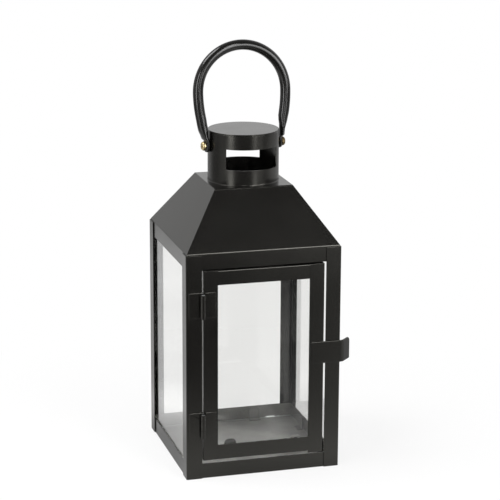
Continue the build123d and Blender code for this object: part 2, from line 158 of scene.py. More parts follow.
def settled(name):
    """Names the piece just added and puts its place and size into its mesh."""
    piece = bpy.context.object
    piece.name = piece.data.name = name
    bpy.ops.object.transform_apply(location=True, rotation=True, scale=True)
    return piece


def blank(name, low, high):
    """Rectangular blank between two corners."""
    low, high = Vector(low), Vector(high)
    bpy.ops.object.select_all(action="DESELECT")
    bpy.ops.mesh.primitive_cube_add(size=1, location=(low + high) / 2, scale=high - low)
    return settled(name)


def bar(name, radius, start, end, sides=BAR_SIDES):
    """Round bar between two points."""
    start, end = Vector(start), Vector(end)
    bpy.ops.object.select_all(action="DESELECT")
    bpy.ops.mesh.primitive_cylinder_add(
        vertices=sides, radius=radius, depth=(end - start).length, location=(start + end) / 2,
        rotation=(end - start).to_track_quat("Z", "Y").to_euler())
    return settled(name)


def pick(piece, kind, test):
    """Opens a piece with those of its faces, edges or corners selected whose middle and way pass a test."""
    alone(piece)
    bpy.ops.object.mode_set(mode="EDIT")
    bpy.ops.mesh.select_mode(type=kind)
    bpy.ops.mesh.select_all(action="DESELECT")
    mesh = bmesh.from_edit_mesh(piece.data)
    mesh.normal_update()
    for part in {"FACE": mesh.faces, "EDGE": mesh.edges, "VERT": mesh.verts}[kind]:
        if kind == "FACE":
            at, way = part.calc_center_median(), part.normal
        elif kind == "EDGE":
            ends = [corner.co for corner in part.verts]
            at, way = (ends[0] + ends[1]) / 2, (ends[1] - ends[0]).normalized()
        else:
            at, way = part.co, part.normal
        if test(at, way):
            part.select_set(True)
    mesh.select_flush_mode()
    bmesh.update_edit_mesh(piece.data)


def shut():
    """Leaves edit mode."""
    bpy.ops.object.mode_set(mode="OBJECT")


def draw(move):
    """Draws out the faces that are selected."""
    bpy.ops.mesh.extrude_region_move(TRANSFORM_OT_translate={"value": move})


def cut(piece, at, way):
    """Scores a piece all round along a plane."""
    pick(piece, "FACE", lambda *_: True)
    bpy.ops.mesh.bisect(plane_co=at, plane_no=way)
    shut()


def pull(piece, test, move):
    """Draws out the faces that pass a test."""
    pick(piece, "FACE", test)
    draw(move)
    shut()


def shift(piece, test, move):
    """Moves the corners that pass a test."""
    pick(piece, "VERT", test)
    bpy.ops.transform.translate(value=move)
    shut()


def stretch(piece, test, scale, about=(0, 0, 0)):
    """Scales the corners that pass a test about a point."""
    pick(piece, "VERT", test)
    bpy.ops.transform.resize(value=scale, center_override=about)
    shut()


def round_off(piece, test, radius, steps=4):
    """Rounds the edges that pass a test."""
    pick(piece, "EDGE", test)
    bpy.ops.mesh.bevel(offset=radius, segments=steps, affect="EDGES")
    shut()


def finish_with(piece, kind, **settings):
    """Adds a modifier and applies it."""
    alone(piece)
    modifier = piece.modifiers.new(kind.lower(), kind)
    for name, value in settings.items():
        setattr(modifier, name, value)
    bpy.ops.object.modifier_apply(modifier=modifier.name)


def cut_out(piece, tool):
    """Takes the tool's shape out of a piece."""
    finish_with(piece, "BOOLEAN", operation="DIFFERENCE", solver="EXACT", object=tool)
    bpy.data.objects.remove(tool)


def weld(piece, other):
    """Makes one closed body of two."""
    finish_with(piece, "BOOLEAN", operation="UNION", solver="EXACT", object=other)
    bpy.data.objects.remove(other)


def soften(piece, width=SHEET_EDGE, steps=2):
    """Rounds every sharp edge a little."""
    finish_with(
        piece, "BEVEL", width=width, segments=steps, limit_method="ANGLE", angle_limit=SHARP)


def copy_of(piece, name, turn=0.0, flip=(1, 1, 1)):
    """Copy with its own mesh, flipped and then turned about the lantern's upright axis."""
    alone(piece)
    bpy.ops.object.duplicate()
    made = bpy.context.object
    made.scale = flip
    made.rotation_euler = (0, 0, math.radians(turn))
    settled(name)
    pick(made, "FACE", lambda *_: True)
    bpy.ops.mesh.normals_make_consistent(inside=False)
    shut()
    return made


def joined(pieces):
    """Several solids as one piece."""
    alone(pieces[0])
    for piece in pieces[1:]:
        piece.select_set(True)
    bpy.ops.object.join()
    return pieces[0]


def fit(piece, body, slot, *nodes):
    """Smooths a finished piece, paints it and puts it in the place of its nodes."""
    alone(piece)
    bpy.ops.object.shade_smooth_by_angle(angle=SHARP)
    finish_with(piece, "WEIGHTED_NORMAL", keep_sharp=True)
    piece.data.materials.clear()
    piece.data.materials.append(finishes[slot])
    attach(piece, body)
    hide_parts(*nodes)


def mark(piece, name, test):
    """Marks each face with what a test of its middle and way gives, for the piece's material to read."""
    marks = piece.data.attributes.new(name, "FLOAT", "FACE")
    for face in piece.data.polygons:
        marks.data[face.index].value = test(face.center, face.normal)


def same(a, b):
    """True where two places on one axis are the same."""
    return abs(a - b) < NEAR


def folded(name, low, high, axis, side, leg):
    """Upright strip of sheet with a leg folded back in y along its low or high edge in x or z."""
    strip = blank(name, low, high)
    edge = (high if side > 0 else low)[axis]
    score = Vector(low)
    score[axis] = edge - side * SHEET
    across = Vector((0, 0, 0))
    across[axis] = 1
    cut(strip, score, across)
    back = math.copysign(1, leg)
    pull(strip, lambda at, way: way.y * back > FACING and side * (at[axis] - score[axis]) > 0, (0, leg, 0))
    front = low[1] if leg > 0 else high[1]
    round_off(
        strip, lambda at, way: abs(way[2 - axis]) > FACING and same(at[axis], edge) and same(at.y, front),
        FOLD)
    return strip


# Materials

def linear(code):
    """Linear colour with full alpha from an sRGB hex code."""
    parts = [int(code[i:i + 2], 16) / 255 for i in (1, 3, 5)]
    return [p / 12.92 if p <= 0.04045 else ((p + 0.055) / 1.055) ** 2.4 for p in parts] + [1.0]


def add(tree, kind, inputs=None, **settings):
    """Adds a node with its settings, its values and its links."""
    made = tree.nodes.new(kind)
    for name, value in settings.items():
        setattr(made, name, value)
    for socket, value in (inputs or {}).items():
        if isinstance(value, bpy.types.NodeSocket):
            tree.links.new(value, made.inputs[socket])
        else:
            made.inputs[socket].default_value = value
    return made


def per_mm(size):
    """Texture scale on Object coordinates for a feature of that many millimetres."""
    return 1 / (size * MM)


def new_material(name):
    """Empty node material and its tree."""
    made = bpy.data.materials.new(name)
    made.use_nodes = True
    made.node_tree.nodes.clear()
    return made, made.node_tree


def powder_coat():
    """Black polyester powder coat, baked on sheet steel.
    Near black face on, pale where it is seen at a slant, with a faint orange peel 2 mm across.
    Faces so marked, down inside, are grey in patches 30 mm across: partly dust, partly painted light that
    brightens the inside.
    Real dust is far finer than the 1.2 mm specks that are drawn to show it."""
    made, tree = new_material("satin_black_powder_coat")
    place = add(tree, "ShaderNodeTexCoord").outputs["Object"]
    cloud = add(tree, "ShaderNodeTexNoise", {"Vector": place, "Scale": per_mm(45), "Detail": 4.0})
    tone = add(tree, "ShaderNodeMix", {
        0: cloud.outputs["Fac"], 6: linear("#0a0a09"), 7: linear("#100f0e")}, data_type="RGBA")
    gloss = add(tree, "ShaderNodeMapRange", {
        "Value": cloud.outputs["Fac"], "From Min": 0.3, "From Max": 0.7, "To Min": 0.19, "To Max": 0.24})
    peel = add(tree, "ShaderNodeTexNoise", {"Vector": place, "Scale": per_mm(2.0), "Detail": 2.0})
    relief = add(tree, "ShaderNodeBump", {
        "Height": peel.outputs["Fac"], "Strength": 0.05, "Distance": 0.3 * MM})

    # Grey patches on marked faces: partly dust, partly painted light
    dust_and_light = add(tree, "ShaderNodeAttribute", attribute_name="dust_and_light").outputs["Fac"]
    patch = add(tree, "ShaderNodeTexNoise", {"Vector": place, "Scale": per_mm(30), "Detail": 3.0})
    speck = add(tree, "ShaderNodeTexNoise", {"Vector": place, "Scale": per_mm(1.2), "Detail": 2.0})
    veil = add(tree, "ShaderNodeMapRange", {
        "Value": patch.outputs["Fac"], "From Min": 0.35, "From Max": 0.65, "To Min": 0.52, "To Max": 0.76},
        interpolation_type="SMOOTHSTEP")
    grit = add(tree, "ShaderNodeMapRange", {
        "Value": speck.outputs["Fac"], "From Min": 0.45, "From Max": 0.7, "To Min": 0.75, "To Max": 1.0})
    dust = add(tree, "ShaderNodeMath", {
        0: veil.outputs["Result"], 1: grit.outputs["Result"]}, operation="MULTIPLY")
    dust_and_light_share = add(tree, "ShaderNodeMath", {0: dust.outputs["Value"], 1: dust_and_light}, operation="MULTIPLY")
    colour = add(tree, "ShaderNodeMix", {
        0: dust_and_light_share.outputs["Value"], 6: tone.outputs[2], 7: linear("#c0bfba")}, data_type="RGBA")
    dulled = add(tree, "ShaderNodeMix", {
        0: dust_and_light_share.outputs["Value"], 2: gloss.outputs["Result"], 3: 0.5}, data_type="FLOAT")
    coat = add(tree, "ShaderNodeBsdfPrincipled", {
        "Base Color": colour.outputs[2], "Roughness": dulled.outputs[0], "IOR": 1.55,
        "Specular Tint": linear("#fffdf3"), "Normal": relief.outputs["Normal"]})
    add(tree, "ShaderNodeOutputMaterial", {"Surface": coat.outputs["BSDF"]})
    return made


def float_glass():
    """Clear float glass, 2 mm, with ground edges.
    Faces are clear and shiny, and the edges are frosted and a little green, so they show as pale lines."""
    made, tree = new_material("clear_float_glass")
    ground = add(tree, "ShaderNodeAttribute", attribute_name="ground").outputs["Fac"]
    tone = add(tree, "ShaderNodeMix", {
        0: ground, 6: linear("#fafaf9"), 7: linear("#dcebe4")}, data_type="RGBA")
    frost = add(tree, "ShaderNodeMath", {0: ground, 1: 0.3}, operation="MULTIPLY")
    pane = add(tree, "ShaderNodeBsdfPrincipled", {
        "Base Color": tone.outputs[2], "Roughness": frost.outputs["Value"], "IOR": 1.5,
        "Transmission Weight": 1.0})
    add(tree, "ShaderNodeOutputMaterial", {"Surface": pane.outputs["BSDF"]})
    return made


def polished_brass():
    """Turned and polished brass, lightly lacquered.
    Pale gold with a brown bloom in patches 2 mm across and fine turning marks.
    Faces so marked are brown and dull: painted shade."""
    made, tree = new_material("polished_brass")
    place = add(tree, "ShaderNodeTexCoord").outputs["Object"]
    bloom = add(tree, "ShaderNodeTexNoise", {"Vector": place, "Scale": per_mm(2.0), "Detail": 3.0})
    tone = add(tree, "ShaderNodeMix", {
        0: bloom.outputs["Fac"], 6: linear("#e2d3a8"), 7: linear("#a08a5c")}, data_type="RGBA")
    # Painted shade: marked faces are browned and dulled
    tarnished = add(tree, "ShaderNodeAttribute", attribute_name="tarnished").outputs["Fac"]
    colour = add(tree, "ShaderNodeMix", {
        0: tarnished, 6: tone.outputs[2], 7: linear("#75664a")}, data_type="RGBA")
    gloss = add(tree, "ShaderNodeMapRange", {
        "Value": bloom.outputs["Fac"], "From Min": 0.3, "From Max": 0.7, "To Min": 0.34, "To Max": 0.46})
    dulled = add(tree, "ShaderNodeMix", {
        0: tarnished, 2: gloss.outputs["Result"], 3: 0.55}, data_type="FLOAT")
    marks = add(tree, "ShaderNodeTexNoise", {"Vector": place, "Scale": per_mm(0.4), "Detail": 2.0})
    relief = add(tree, "ShaderNodeBump", {
        "Height": marks.outputs["Fac"], "Strength": 0.05, "Distance": 0.1 * MM})
    metal = add(tree, "ShaderNodeBsdfPrincipled", {
        "Base Color": colour.outputs[2], "Metallic": 1.0, "Roughness": dulled.outputs[0],
        "Normal": relief.outputs["Normal"]})
    add(tree, "ShaderNodeOutputMaterial", {"Surface": metal.outputs["BSDF"]})
    return made


def smooth_leather():
    """Black calf leather, dyed and waxed smooth.
    Long clean highlights over a faint grain. The real grain is 0.4 mm, and it is drawn 1 mm wide to show."""
    made, tree = new_material("black_waxed_leather")
    place = add(tree, "ShaderNodeTexCoord").outputs["Object"]
    wear = add(tree, "ShaderNodeTexNoise", {"Vector": place, "Scale": per_mm(14), "Detail": 1.0})
    tone = add(tree, "ShaderNodeMix", {
        0: wear.outputs["Fac"], 6: linear("#0a0a09"), 7: linear("#131210")}, data_type="RGBA")
    gloss = add(tree, "ShaderNodeMapRange", {
        "Value": wear.outputs["Fac"], "From Min": 0.3, "From Max": 0.7, "To Min": 0.16, "To Max": 0.2})
    grain = add(tree, "ShaderNodeTexVoronoi", {"Vector": place, "Scale": per_mm(1.0)}, feature="SMOOTH_F1")
    relief = add(tree, "ShaderNodeBump", {
        "Height": grain.outputs["Distance"], "Strength": 0.01, "Distance": 0.03 * MM})
    hide = add(tree, "ShaderNodeBsdfPrincipled", {
        "Base Color": tone.outputs[2], "Roughness": gloss.outputs["Result"], "IOR": 1.5,
        "Normal": relief.outputs["Normal"]})
    add(tree, "ShaderNodeOutputMaterial", {"Surface": hide.outputs["BSDF"]})
    return made


def drawn_steel():
    """Bare drawn steel wire.
    Grey metal with streaks along the pin, which the drawing die leaves."""
    made, tree = new_material("drawn_steel_wire")
    place = add(tree, "ShaderNodeTexCoord").outputs["Object"]
    along = add(tree, "ShaderNodeMapping", {"Vector": place, "Scale": (1, 1, 0.08)})
    streak = add(tree, "ShaderNodeTexNoise", {
        "Vector": along.outputs["Vector"], "Scale": per_mm(0.5), "Detail": 2.0})
    tone = add(tree, "ShaderNodeMix", {
        0: streak.outputs["Fac"], 6: linear("#5f6061"), 7: linear("#7d7e7e")}, data_type="RGBA")
    gloss = add(tree, "ShaderNodeMapRange", {
        "Value": streak.outputs["Fac"], "From Min": 0.3, "From Max": 0.7, "To Min": 0.24, "To Max": 0.38})
    wire = add(tree, "ShaderNodeBsdfPrincipled", {
        "Base Color": tone.outputs[2], "Metallic": 1.0, "Roughness": gloss.outputs["Result"]})
    add(tree, "ShaderNodeOutputMaterial", {"Surface": wire.outputs["BSDF"]})
    return made


finishes = {
    "black_paint": powder_coat(), "clear_glass": float_glass(), "brass": polished_brass(),
    "black_leather": smooth_leather(), "pin_steel": drawn_steel()}


# Posts, rails and floor

def corner_posts():
    """Four L-angles, of which the one that carries the door has a wider front leg."""
    posts = []
    for hand, side in (("left", -1), ("right", 1)):
        low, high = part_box("post_front_" + hand)
        leg = high.y - low.y - SHEET
        post = folded("corner_post_front_" + hand, low, (high.x, low.y + SHEET, high.z), 0, side, leg)
        round_off(post, lambda at, way: same(at.z, high.z), POST_EDGE, 3)
        soften(post)
        posts.append(post)
    posts.append(copy_of(post, "corner_post_back_right", flip=(1, -1, 1)))
    posts.append(copy_of(post, "corner_post_back_left", flip=(-1, -1, 1)))
    for piece in posts:
        fit(piece, "body", "black_paint", piece.name.replace("corner_post", "post"))


def base():
    """Floor sheet and the four strips that stand round it."""
    sheet = blank("floor_sheet", *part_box("base_floor"))
    floor_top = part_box("base_floor")[1].z
    soften(sheet)
    # Greyed top of the floor: partly dust, partly painted light
    mark(sheet, "dust_and_light", lambda at, way: way.z > FACING)
    fit(sheet, "body", "black_paint", "base_floor")
    for side, inward in (("front", (0, 1)), ("back", (0, -1)), ("left", (1, 0)), ("right", (-1, 0))):
        low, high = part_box("bottom_rail_" + side)
        strip = blank("rail_" + side, low, high)
        if side == "back":
            for start, end, height in SLITS:
                cut_out(strip, blank(
                    "slit", (start, low.y - TOOL, floor_top), (end, high.y + TOOL, floor_top + height)))
        soften(strip)
        # Greyed inside of the rails: partly dust, partly painted light
        mark(strip, "dust_and_light", lambda at, way: RAIL_DUST_AND_LIGHT * (way.xy.dot(inward) > FACING))
        fit(strip, "body", "black_paint", "bottom_rail_" + side)


# Roof and chimney

def roof():
    """Four panels, folded at the eave and mitred at the hips, and the flat plate on them."""
    low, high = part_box("roof_panel_front")
    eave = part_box("post_front_left")[1].z + EAVE_RISE
    plate_low, plate_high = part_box("roof_top_plate")
    outer_top, inner_top = plate_high.x, -high.y
    middle = low.y + SHEET / 2
    panel = blank("hood_front", low, (high.x, low.y + SHEET, eave))
    stretch(panel, lambda at, way: at.y > middle, ((high.x - SHEET) / high.x, 1, 1))
    pull(panel, lambda at, way: way.z > FACING, (0, -low.y - outer_top, high.z - eave))
    stretch(panel, lambda at, way: same(at.z, high.z) and same(at.y, -outer_top),
            (outer_top / high.x, 1, 1))
    shift(panel, lambda at, way: same(at.z, high.z) and at.y > -outer_top + NEAR,
          (0, outer_top - SHEET - inner_top, 0))
    stretch(panel, lambda at, way: same(at.z, high.z) and at.y > -outer_top + NEAR,
            (inner_top / (high.x - SHEET), 1, 1))
    slope_wall = outer_top - inner_top
    drop = (slope_wall - SHEET) * (high.z - eave) / (-low.y - outer_top)
    shift(panel, lambda at, way: same(at.z, eave) and at.y > middle, (0, 0, -drop))
    round_off(
        panel, lambda at, way: abs(way.x) > FACING and same(at.y, low.y) and same(at.z, eave), EAVE_FOLD)
    soften(panel, FINE_EDGE)
    turns = (("right", 90), ("back", 180), ("left", 270))
    others = [copy_of(panel, "hood_" + name, turn) for name, turn in turns]
    for piece in [panel] + others:
        fit(piece, "body", "black_paint", piece.name.replace("hood", "roof_panel"))

    plate = blank("hood_top", plate_low, plate_high)
    rise = plate_high.z - plate_low.z
    taper = 1 - rise * (-low.y - outer_top) / (high.z - eave) / outer_top
    stretch(plate, lambda at, way: same(at.z, plate_high.z), (taper, taper, 1))
    bore = CHIMNEY - SHEET
    cut_out(plate, bar("hole", bore, (0, 0, plate_low.z - TOOL), (0, 0, plate_high.z + TOOL), TUBE_SIDES))
    soften(plate, FINE_EDGE)
    fit(plate, "body", "black_paint", "roof_top_plate")


def chimney():
    """Rolled tube with its two vents, and the lid that plugs into it."""
    low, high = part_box("chimney_tube")
    bpy.ops.object.select_all(action="DESELECT")
    bpy.ops.mesh.primitive_cylinder_add(
        vertices=TUBE_SIDES, radius=CHIMNEY, depth=high.z - low.z, location=(0, 0, (low.z + high.z) / 2),
        end_fill_type="NOTHING")
    tube = settled("tube_pattern")
    vent_top = high.z - VENT_DROP
    for level in (vent_top - VENT_HEIGHT, vent_top):
        cut(tube, (0, 0, level), (0, 0, 1))

    def in_vent(at, way):
        """True in the sweep of either vent, by the degrees from the middle of the nearer one."""
        aside = (math.degrees(math.atan2(at.x, -at.y)) + 90) % 180 - 90
        return abs(aside) < VENT_SWEEP / 2 and vent_top - VENT_HEIGHT < at.z < vent_top
    pick(tube, "FACE", in_vent)
    bpy.ops.mesh.delete(type="FACE")
    shut()
    cut(tube, (0, 0, low.z + FOOT_RISE), (0, 0, 1))
    flare = 1 + FOOT_FLARE / CHIMNEY
    stretch(tube, lambda at, way: same(at.z, low.z), (flare, flare, 1))
    finish_with(tube, "SOLIDIFY", thickness=SHEET, offset=-1, use_even_offset=True)
    round_off(tube, lambda at, way: same(at.z, high.z) and at.xy.length > CHIMNEY - SHEET / 2, LID_SEAM, 3)
    cut_out(tube, bar("hole", BARREL + NEAR, (-CHIMNEY - TOOL, 0, PIVOT), (CHIMNEY + TOOL, 0, PIVOT)))
    soften(tube, TUBE_EDGE)
    turned = copy_of(tube, "flue_tube", CHIMNEY_TURN)
    bpy.data.objects.remove(tube)
    fit(turned, "body", "black_paint", "chimney_tube")

    rim = high.z
    low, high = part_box("chimney_cap")
    lid = bar("flue_lid", CHIMNEY, (0, 0, rim), (0, 0, high.z), TUBE_SIDES)
    pick(lid, "FACE", lambda at, way: way.z < -FACING)
    bpy.ops.mesh.inset(thickness=SHEET + COLLAR_PLAY)
    draw((0, 0, low.z - rim))
    bpy.ops.mesh.inset(thickness=SHEET)
    draw((0, 0, rim - low.z))
    shut()
    round_off(lid, lambda at, way: same(at.z, high.z), LID_EDGE, 3)
    round_off(lid, lambda at, way: same(at.z, rim) and at.xy.length > CHIMNEY - SHEET / 2, LID_SEAM, 3)
    soften(lid, TUBE_EDGE)
    fit(lid, "body", "black_paint", "chimney_cap")


# Glass and its clips

def glass(name, node, body):
    """Pane with ground and arrissed edges."""
    low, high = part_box(node)
    size = high - low
    thin = min(range(3), key=lambda axis: size[axis])
    low[thin] += GLASS_PLAY
    high[thin] -= GLASS_PLAY
    pane = blank(name, low, high)
    soften(pane, GLASS_EDGE, 1)
    mark(pane, "ground", lambda at, way: abs(way[thin]) < FACING)
    fit(pane, body, "clear_glass", node)


def tongue(name, low, high, side, leg, corner):
    """Bent tab: an upright tongue with its foot at the low or high end and its free corners rounded."""
    tab = folded(name, low, high, 2, side, leg)
    free = (low if side > 0 else high)[2]
    round_off(tab, lambda at, way: abs(way.y) > FACING and same(at.z, free), corner, 6)
    soften(tab, FINE_EDGE)
    return tab


def pane_clips():
    """Tabs inside each fixed pane: two feet on the floor and two hooks on the skirt."""
    low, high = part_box("pane_clips_back")
    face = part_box("pane_back")[0].y
    inner = high.x - CLIP_WIDTH
    foot = tongue(
        "clips_back", (inner, face - SHEET, low.z), (high.x, face, low.z + CLIP_RISE), -1,
        low.y - face + SHEET, CLIP_CORNER)
    hook = tongue(
        "hook", (inner, face - SHEET, high.z - CLIP_HOOK), (high.x, face, high.z), 1,
        high.y - face, CLIP_CORNER)
    others = [copy_of(tab, tab.name + "_twin", flip=(-1, 1, 1)) for tab in (foot, hook)]
    back = joined([foot, hook] + others)
    # Greyed clips: partly dust, partly painted light
    mark(back, "dust_and_light", lambda at, way: CLIP_DUST_AND_LIGHT)
    sides = [copy_of(back, "clips_" + name, turn) for name, turn in (("left", 90), ("right", 270))]
    for piece in [back] + sides:
        fit(piece, "body", "black_paint", "pane_" + piece.name)


def door_clips():
    """Tabs behind the door's glass: two rounded ones that show below, two short ones above.
    Those on the latch side are greyed: partly dust, partly a painted highlight."""
    low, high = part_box("door_glass_clips")
    leg = high.y - low.y - SHEET
    back = low.y + SHEET
    tabs = []
    for start, rise in ((low.x, DOOR_CLIP_RISE), (high.x - CLIP_WIDTH, DOOR_CLIP_LOW)):
        end = start + CLIP_WIDTH
        tabs.append(tongue(
            "door_clips", (start, low.y, low.z), (end, back, low.z + rise), -1, leg, DOOR_CLIP_CORNER))
        tabs.append(tongue(
            "door_hook", (start, low.y, high.z - DOOR_CLIP_HOOK), (end, back, high.z), 1, leg, CLIP_CORNER))
    clips = joined(tabs)
    # Greyed clips on the latch side: partly dust, partly a painted highlight
    mark(clips, "dust_and_light", lambda at, way: at.x > 0)
    fit(clips, "door", "black_paint", "door_glass_clips")


# Door, hinges and latch

def door_frame():
    """Two stiles and two rails of folded strip."""
    stiles = (("stile_hinge", "door_hinge_stile", -1), ("stile_latch", "door_latch_stile", 1))
    for name, node, side in stiles:
        low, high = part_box(node)
        leg = high.y - low.y - SHEET
        stile = folded(name, low, (high.x, low.y + SHEET, high.z), 0, side, leg)
        soften(stile)
        fit(stile, "door", "black_paint", node)

    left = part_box("door_hinge_stile")[1].x
    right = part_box("door_latch_stile")[0].x
    rails = (("rail_door_top", "door_top_rail", 1), ("rail_door_bottom", "door_bottom_rail", -1))
    for name, node, side in rails:
        low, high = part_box(node)
        skin = low.y + SHEET
        leg = high.y - low.y - SHEET
        rail = folded(name, (left, low.y, low.z), (right, skin, high.z), 2, side, leg)
        pull(rail, lambda at, way: way.x < -FACING and at.y > skin, (low.x - left, 0, 0))
        pull(rail, lambda at, way: way.x > FACING and at.y > skin, (high.x - right, 0, 0))
        soften(rail)
        fit(rail, "door", "black_paint", node)


def hinge_leaf(name, node, body, side, face):
    """Leaf with its knuckles: side -1 is the post's leaf with two, side 1 the door's with one."""
    low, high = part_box(node)
    pin_x = low.x + HINGE_LEAF if side < 0 else high.x - HINGE_LEAF
    pin_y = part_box("door_hinge_stile")[0].y - KNUCKLE_GAP - KNUCKLE
    middle = (low.z + high.z) / 2
    inner = KNUCKLE_MIDDLE / 2
    outer = inner + KNUCKLE_GAP
    if side < 0:
        spans = [(low.z, middle - outer), (middle + outer, high.z - KNUCKLE_TOP_INSET)]
        notches = [(middle - outer, middle + outer)]
    else:
        spans = [(middle - inner, middle + inner)]
        notches = [(low.z - TOOL, middle - inner), (middle + inner, high.z + TOOL)]

    ends = sorted((pin_x, pin_x + side * HINGE_LEAF))
    leaf = blank(name, (ends[0], face - HINGE_SHEET, low.z), (ends[1], face, high.z))
    front = face - HINGE_SHEET
    round_off(leaf, lambda at, way: same(at.y, front) and not same(at.x, pin_x), LEAF_EDGE, 3)
    relief = sorted((pin_x - side * TOOL, pin_x + side * (KNUCKLE + KNUCKLE_GAP)))
    for foot, top in notches:
        cut_out(leaf, blank("notch", (relief[0], face - TOOL, foot), (relief[1], face + TOOL, top)))
    for foot, top in spans:
        weld(leaf, bar("knuckle", KNUCKLE, (pin_x, pin_y, foot), (pin_x, pin_y, top)))
    cut_out(leaf, bar(
        "bore", PIN_BORE, (pin_x, pin_y, low.z - TOOL), (pin_x, pin_y, high.z + TOOL), PIN_SIDES))
    soften(leaf, FINE_EDGE)
    fit(leaf, body, "black_paint", node)
    return pin_x, pin_y


def hinge_pin(name, node, pin_x, pin_y):
    """Wire pin with an upset, rounded head."""
    low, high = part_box(node)
    neck = high.z - PIN_HEAD_HEIGHT
    pin = bar(name, PIN, (pin_x, pin_y, low.z), (pin_x, pin_y, neck), PIN_SIDES)
    pick(pin, "FACE", lambda at, way: way.z > FACING)
    draw((0, 0, 0))
    bpy.ops.transform.resize(value=(PIN_HEAD / PIN, PIN_HEAD / PIN, 1), center_override=(pin_x, pin_y, neck))
    draw((0, 0, PIN_HEAD_HEIGHT))
    shut()
    round_off(pin, lambda at, way: same(at.z, high.z), PIN_HEAD_ROUNDING, 6)
    soften(pin, FINE_EDGE)
    fit(pin, "body", "pin_steel", node)


def hinges():
    """Two butt hinges."""
    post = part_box("post_front_left")[0].y
    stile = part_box("door_hinge_stile")[0].y
    for level in ("upper", "lower"):
        node = "hinge_" + level
        hinge_leaf("leaf_" + level + "_post", node + "_post_leaf", "body", -1, post)
        axis = hinge_leaf("leaf_" + level + "_door", node + "_door_leaf", "door", 1, stile)
        hinge_pin("pin_" + level, node + "_pin", *axis)


def latch():
    """Strip over stile and post, with its thumb lip bent back."""
    low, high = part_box("latch_strip")
    back = low.y + LATCH_SHEET
    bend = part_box("post_front_right")[1].x + LATCH_OVERHANG
    taken = LATCH_BEND * math.tan(LIP_ANGLE / 2)
    along = Vector((math.cos(LIP_ANGLE), math.sin(LIP_ANGLE), 0))
    across = Vector((-along.y, along.x, 0))
    strip = blank("thumb_latch", low, (bend - taken, back, high.z))
    pick(strip, "FACE", lambda at, way: way.x > FACING)
    bpy.ops.mesh.spin(
        steps=6, angle=LIP_ANGLE, center=(bend - taken, back + LATCH_BEND, 0), axis=(0, 0, -1))
    draw(along * (LIP_LENGTH - taken))
    shut()
    tip = bend + LIP_TIP * LIP_LENGTH * along.x
    for level, radius in ((high.z, LIP_ROUNDING), (low.z, LIP_FOOT_ROUNDING)):
        round_off(
            strip, lambda at, way: abs(way.dot(across)) > FACING and at.x > tip and same(at.z, level),
            radius, 8)
    soften(strip, LATCH_EDGE, 3)
    fit(strip, "door", "black_paint", "latch_strip")


# Handle and its screws

def binding_screws():
    """Barrels through the chimney wall and the leather, and the slotted screws in them."""
    seat = math.sqrt((CHIMNEY - SHEET) ** 2 - BARREL_HEAD ** 2)
    end = CHIMNEY + TAB_THICKNESS + 2 * TAB_PLAY
    barrel = bar("barrel", BARREL_HEAD, (seat - BARREL_HEAD_HEIGHT, 0, PIVOT), (seat, 0, PIVOT))
    pick(barrel, "FACE", lambda at, way: way.x > FACING)
    bpy.ops.mesh.inset(thickness=BARREL_HEAD - BARREL)
    draw((end - seat, 0, 0))
    bpy.ops.mesh.inset(thickness=BARREL - SCREW_BORE)
    draw((-SCREW_DEPTH - NEAR, 0, 0))
    shut()
    soften(barrel, FINE_EDGE)

    crown = end + SCREW_HEAD_HEIGHT
    screw = bar("screw", SCREW_SHANK, (end - SCREW_DEPTH, 0, PIVOT), (end, 0, PIVOT))
    pick(screw, "FACE", lambda at, way: way.x > FACING)
    draw((0, 0, 0))
    wider = SCREW_HEAD / SCREW_SHANK
    bpy.ops.transform.resize(value=(1, wider, wider), center_override=(end, 0, PIVOT))
    draw((SCREW_HEAD_HEIGHT, 0, 0))
    shut()
    round_off(screw, lambda at, way: same(at.x, crown), SCREW_CROWN, 8)
    half = SCREW_SLOT_WIDTH / 2
    across = 2 * SCREW_HEAD
    cut_out(screw, blank(
        "slot", (crown - SCREW_SLOT_DEPTH, -across, PIVOT - half), (crown + TOOL, across, PIVOT + half)))
    soften(screw, SCREW_EDGE)

    for hand, turn in (("right", CHIMNEY_TURN), ("left", CHIMNEY_TURN + 180)):
        for pattern in (barrel, screw):
            made = copy_of(pattern, "binding_" + pattern.name + "_" + hand, turn)
            # Painted shade on the right-hand barrel and screw
            mark(made, "tarnished", lambda at, way: hand == "right")
            fit(made, "body", "brass", "handle_" + pattern.name + "_" + hand)
    for pattern in (barrel, screw):
        bpy.data.objects.remove(pattern)


def leather_rings(neck):
    """Middle, tilt, half thickness and half width of each section from the arch down to the end of a tab."""
    bend_x = ARCH_RADIUS - LEG_BEND_RADIUS
    rings = []
    for step in range(LEG_STEPS + 1):
        tilt = LEG_BEND * step / LEG_STEPS
        middle = (bend_x + LEG_BEND_RADIUS * math.cos(tilt), 0, ARCH_RISE - LEG_BEND_RADIUS * math.sin(tilt))
        rings.append((Vector(middle), tilt, LEATHER, LEATHER))
    for count, (level, reach, thick, wide) in enumerate(neck, 1):
        middle = Vector((TAB_X + reach * MM, 0, level * MM))
        rings.append((middle, LEG_BEND * (1 - count / len(neck)), thick * MM, wide * MM))
    full = TAB_FULLNESS * TAB_THICKNESS
    half = TAB_WIDTH / 2
    rings.append((Vector((TAB_X, 0, TAB_TOP)), 0, full, half))
    for drop, left in TAB_END:
        wide = half * math.sqrt(TAB_BLUNTNESS - drop ** 2)
        rings.append((Vector((TAB_X, 0, -drop * half)), 0, full * left, wide))
    return rings


def draw_ring(roll, ring, after):
    """Draws the open end of the leather out from one section to the one after it."""
    middle, tilt, thick, wide = ring
    to, new_tilt, new_thick, new_wide = after
    along = Vector((math.sin(tilt), 0, math.cos(tilt)))
    pick(roll, "EDGE", lambda at, way: abs((at - middle).dot(along)) < NEAR and at.z < ARCH_RISE + NEAR)
    bpy.ops.mesh.extrude_edges_move()
    bpy.ops.transform.rotate(value=tilt, orient_axis="Y", center_override=middle)
    bpy.ops.transform.resize(value=(new_thick / thick, new_wide / wide, 1), center_override=middle)
    bpy.ops.transform.rotate(value=-new_tilt, orient_axis="Y", center_override=middle)
    bpy.ops.transform.translate(value=to - middle)


